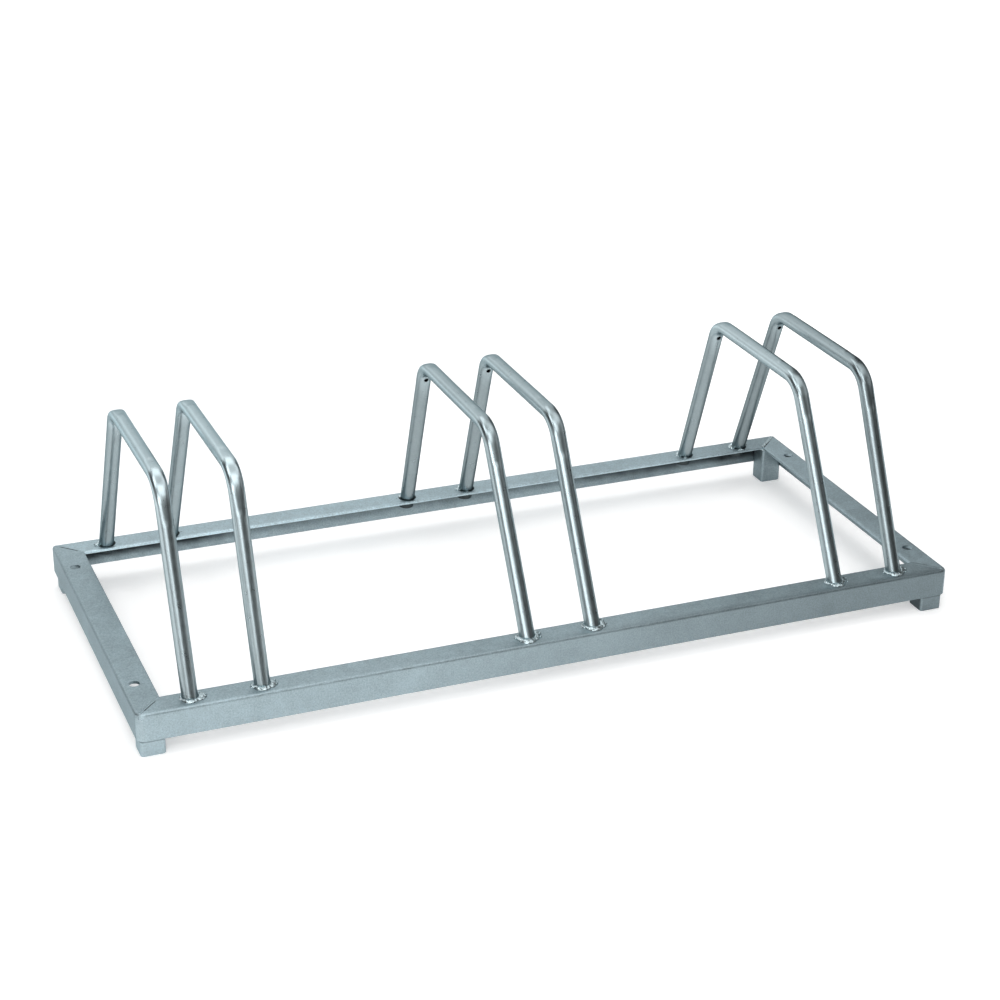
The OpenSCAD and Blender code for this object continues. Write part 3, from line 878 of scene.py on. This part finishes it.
def coat_and_painted_light_rule(name, k):
    if name == "front_rail_angle":
        # painted shade: darker towards the right end, most of all on the front face; a little darker on the top and
        # inner faces at the left end; a painted highlight along the fold
        return lambda x, y, z: (k * (1.04 - 0.50 * ramp(x, -420, 440) * (0.55 + 0.45 * ramp(-y, 190, 199)))
                                * (1 - 0.09 * (1 - ramp(x, -320, 0)) * ramp(y + HW, 2, 6))
                                * fold_highlight(math.hypot(y + HW, z - TOP), x, 1))
    if name == "rear_rail_angle":
        # darker at the right end; a painted highlight along the fold, and a painted highlight along the top leg's inner
        # edge, stronger towards the left
        return lambda x, y, z: (k * (1 - 0.20 * ramp(x, 330, 400)) * fold_highlight(math.hypot(y - HW, z - TOP), x, 2)
                                * (1 + (0.28 + 0.40 * (1 - ramp(x, -420, 60))) * ramp(HW - y, LEG - 1.3, LEG - 0.4) * ramp(z, UNDER - 0.6, UNDER + 0.3)))
    if name in ("left_rail_angle", "right_rail_angle"):
        # a painted highlight along the fold, and painted shade on the outer face
        return lambda x, y, z: k * fold_highlight(math.hypot(abs(x) - HL, z - TOP), y, 3) * (1 - 0.10 * ramp(abs(x), HL - 1.5, HL))
    if name.endswith("_tube"):
        i = int(name.split("_")[1]) - 1
        bend = MID[i] + TOP_L / 2
        painted_shade = (0.28, 0.22, 0.05, 0.05, 0.05, 0.05)[i]        # painted shade on the front legs' lower part, all round
        def rule(x, y, z):
            low = ramp(-112 - y, -16, 16)
            # painted shade: darker over the rear bend and down the rear leg
            return k * (1.0 - 0.30 * ramp(y, bend - 4, bend + 9) * ramp(RISE[i] - z, -4, 22) - painted_shade * low)
        return rule
    if name in ("foot_front_right_block", "foot_rear_right_block"):
        # painted highlight down the inner front edge, and painted shade on the side under the rail
        front = "front" in name
        x0, y0 = HL - T - FOOT, (-HW + T if front else HW - T - FOOT)
        return lambda x, y, z: (k * (1 + 0.20 * ramp(2.5 - math.hypot(x - x0, y - y0), 0, 0.9))
                                * (1 - (0.55 if front else 0.12) * ramp(x0 + 1.4 - x, 0, 1.2) * ramp(y - y0, 1.5, 3.5)))
    return lambda x, y, z: k


for ob in [o for o in bpy.data.objects if o.type == "MESH" and o.name.rsplit("_", 1)[-1] in ("tube", "angle", "block", "bead")]:
    tone(ob, coat_and_painted_light_rule(ob.name, COAT_AND_PAINTED_LIGHT.get(ob.name.rsplit("_", 1)[0], 1.15)))


# ---------------------------------------------------------------- floor and light
floor_me = bpy.data.meshes.new("floor")
S = 14.0
floor_me.from_pydata([(-S, -S, 0), (S, -S, 0), (S, S, 0), (-S, S, 0)], [], [(0, 1, 2, 3)])
floor = bpy.data.objects.new("floor", floor_me)
bpy.context.scene.collection.objects.link(floor)
fm, fnt, fb = nodes_of("floor_white")
fb.inputs["Base Color"].default_value = (0.88, 0.88, 0.88, 1)
fb.inputs["Roughness"].default_value = 0.9
fb.inputs["Specular IOR Level"].default_value = 0.0
# the sweep is lit evenly out to its far edge
f_co = add(fnt, "ShaderNodeTexCoord").outputs["Object"]
f_len = add(fnt, "ShaderNodeVectorMath", operation="LENGTH")
fnt.links.new(f_co, f_len.inputs[0])
f_far = add(fnt, "ShaderNodeMapRange", interpolation_type="SMOOTHSTEP")
for key, val in (("From Min", 0.65), ("From Max", 1.7), ("To Min", 0.29), ("To Max", 1.3)):
    f_far.inputs[key].default_value = val
fnt.links.new(f_len.outputs["Value"], f_far.inputs["Value"])
fb.inputs["Emission Color"].default_value = (1, 1, 1, 1)
fnt.links.new(f_far.outputs["Result"], fb.inputs["Emission Strength"])
floor_me.materials.append(fm)

world = bpy.data.worlds.new("studio")
bpy.context.scene.world = world
world.use_nodes = True
wt = world.node_tree
wt.nodes.clear()
w_out = wt.nodes.new("ShaderNodeOutputWorld")
w_bg = wt.nodes.new("ShaderNodeBackground")
w_bg.inputs["Color"].default_value = (1, 1, 1, 1)
w_bg.inputs["Strength"].default_value = 0.03
wt.links.new(w_bg.outputs[0], w_out.inputs["Surface"])


def softbox(name, pos, target, wx, wy, radiance, colour=(1, 1, 1)):
    data = bpy.data.lights.new(name, "AREA")
    data.shape = "RECTANGLE"
    data.size, data.size_y = wx, wy
    data.energy = radiance * wx * wy * math.pi
    data.color = colour
    ob = bpy.data.objects.new(name, data)
    ob.location = pos
    ob.rotation_mode = "QUATERNION"
    ob.rotation_quaternion = (Vector(target) - Vector(pos)).to_track_quat("-Z", "Y")
    ob.visible_camera = False
    bpy.context.scene.collection.objects.link(ob)
    return ob


def polar(az, el, dist):
    """Place of a panel: azimuth 0 is in front, positive to the right, seen from 0.1 m above the floor."""
    a, e = math.radians(az), math.radians(el)
    return dist * math.sin(a) * math.cos(e), -dist * math.cos(a) * math.cos(e), 0.1 + dist * math.sin(e)


# panels: azimuth, elevation, distance, width, height, radiance
for k, (az, el, dist, wx, wy, rad) in enumerate((
        (-56, 15, 2.8, 0.62, 0.62, 2.33),
        (-56, 27, 2.8, 0.62, 0.62, 2.97),
        (-56, 39, 2.8, 0.62, 0.62, 0.14),
        (-44, 15, 2.8, 0.62, 0.62, 1.76),
        (-44, 27, 2.8, 0.62, 0.62, 2.92),
        (-44, 39, 2.8, 0.62, 0.62, 2.17),
        (-32, 15, 2.8, 0.62, 0.62, 2.97),
        (-32, 27, 2.8, 0.62, 0.62, 1.85),
        (-32, 39, 2.8, 0.62, 0.62, 3.26),
        (-20, 15, 2.8, 0.62, 0.62, 1.0),
        (-20, 27, 2.8, 0.62, 0.62, 0.57),
        (-20, 39, 2.8, 0.62, 0.62, 2.27),
        (-90, 8, 3.0, 1.5, 1.2, 0.53),
        (120, 8, 3.0, 1.5, 1.2, 0.33),
        (90, 34, 3.0, 1.5, 1.2, 0.34),
        (60, 34, 3.0, 1.5, 1.2, 0.57),
        (0, 34, 3.0, 1.5, 1.2, 0.4),
        (-90, 62, 2.8, 1.4, 1.4, 2.4),
        (0, 62, 2.8, 1.4, 1.4, 2.49),
        (90, 62, 2.8, 1.4, 1.4, 0.94),
        (180, 62, 2.8, 1.4, 1.4, 1.44))):
    softbox(f"panel_{k + 1}", polar(az, el, dist), (0, 0, 0.1), wx, wy, rad)
softbox("panel_top", (0.1, 0.3, 2.8), (0.1, 0.3, 0.1), 2.8, 2.6, 0.62)
softbox("panel_back", (-0.1, 3.0, 1.25), (-0.1, 0, 1.2), 5.0, 2.3, 1.02)
softbox("panel_back_high", polar(180, 47, 3.0), (0, 0, 0.1), 3.6, 1.0, 0.78)
softbox("panel_back_left", polar(-148, 30, 3.0), (0, 0, 0.1), 1.3, 1.3, 0.55)
# these light the sweep only
for k, (pos, w, rad) in enumerate((
        ((-0.75, -0.65, 0.5), 0.4, 0.16),
        ((-0.5, -1.0, 0.5), 0.4, 1.38),
        ((0.2, -0.8, 0.6), 0.4, 0.76),
        ((0.8, -0.8, 0.7), 0.4, 2.32),
        ((0.9, 0.4, 0.7), 0.4, 0.99))):
    softbox(f"sweep_{k + 1}", pos, (0, 0, 0.1), w, w, rad).visible_glossy = False

sc = bpy.context.scene
sc.view_settings.view_transform = "Standard"
sc.view_settings.look = "None"
sc.view_settings.exposure = 0.0
sc.view_settings.gamma = 1.0
